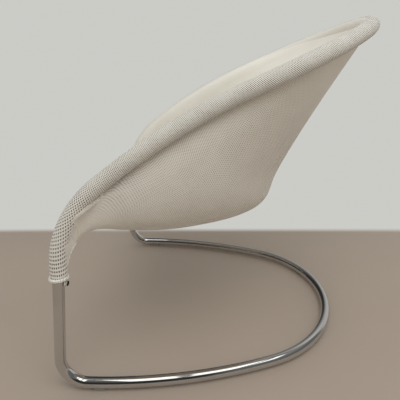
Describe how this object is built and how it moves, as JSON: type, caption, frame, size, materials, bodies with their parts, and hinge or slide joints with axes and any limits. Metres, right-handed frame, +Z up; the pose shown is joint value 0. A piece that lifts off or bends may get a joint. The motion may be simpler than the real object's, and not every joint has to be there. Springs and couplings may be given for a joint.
{
  "type": "cantilever lounge chair",
  "caption": "Low cantilever lounge chair: a bent chrome tube floor loop and uprights carry a padded tubular rim with a deep knit fabric bucket seat hung inside it.",
  "frame": {"origin": "on the floor, at the middle of the chair's overall box seen from above", "axes": "+Z up, +Y towards the chair's back, +X towards the sitter's left"},
  "size_m": [0.7966, 0.809, 0.8984],
  "materials": {
    "chrome_tube": "mirror polished",
    "plain_steel": "drawn, unpolished",
    "black_steel": "satin black",
    "white_nylon": "satin",
    "clear_plastic": "cloudy, half gloss",
    "foam": "open-cell foam, matte",
    "ivory_knit": "thick knit with rows of small holes, matte",
    "ivory_binding": "close-woven tape and cord, matte"
  },
  "bodies": {
    "root": {"base_tube": "chrome_tube", "seat_tube": "plain_steel", "leg_spigot_left": "plain_steel", "leg_spigot_right": "plain_steel", "spigot_nut_left": "plain_steel", "spigot_nut_right": "plain_steel", "lock_screw_left": "black_steel", "lock_screw_right": "black_steel", "screw_spacer_left": "white_nylon", "screw_spacer_right": "white_nylon", "front_hem_cord": "white_nylon", "glide_front_left": "clear_plastic", "glide_front_right": "clear_plastic", "glide_rear_left": "clear_plastic", "glide_rear_right": "clear_plastic", "rim_foam_left": "foam", "rim_foam_head": "foam", "rim_foam_right": "foam", "rim_sleeve_left": "ivory_knit", "rim_sleeve_head": "ivory_knit", "rim_sleeve_right": "ivory_knit", "basket": "ivory_knit", "front_hem": "ivory_binding", "hem_welt_left": "ivory_binding", "hem_welt_right": "ivory_binding", "hem_loop_left": "ivory_binding", "hem_loop_right": "ivory_binding"}
  },
  "joints": []
}
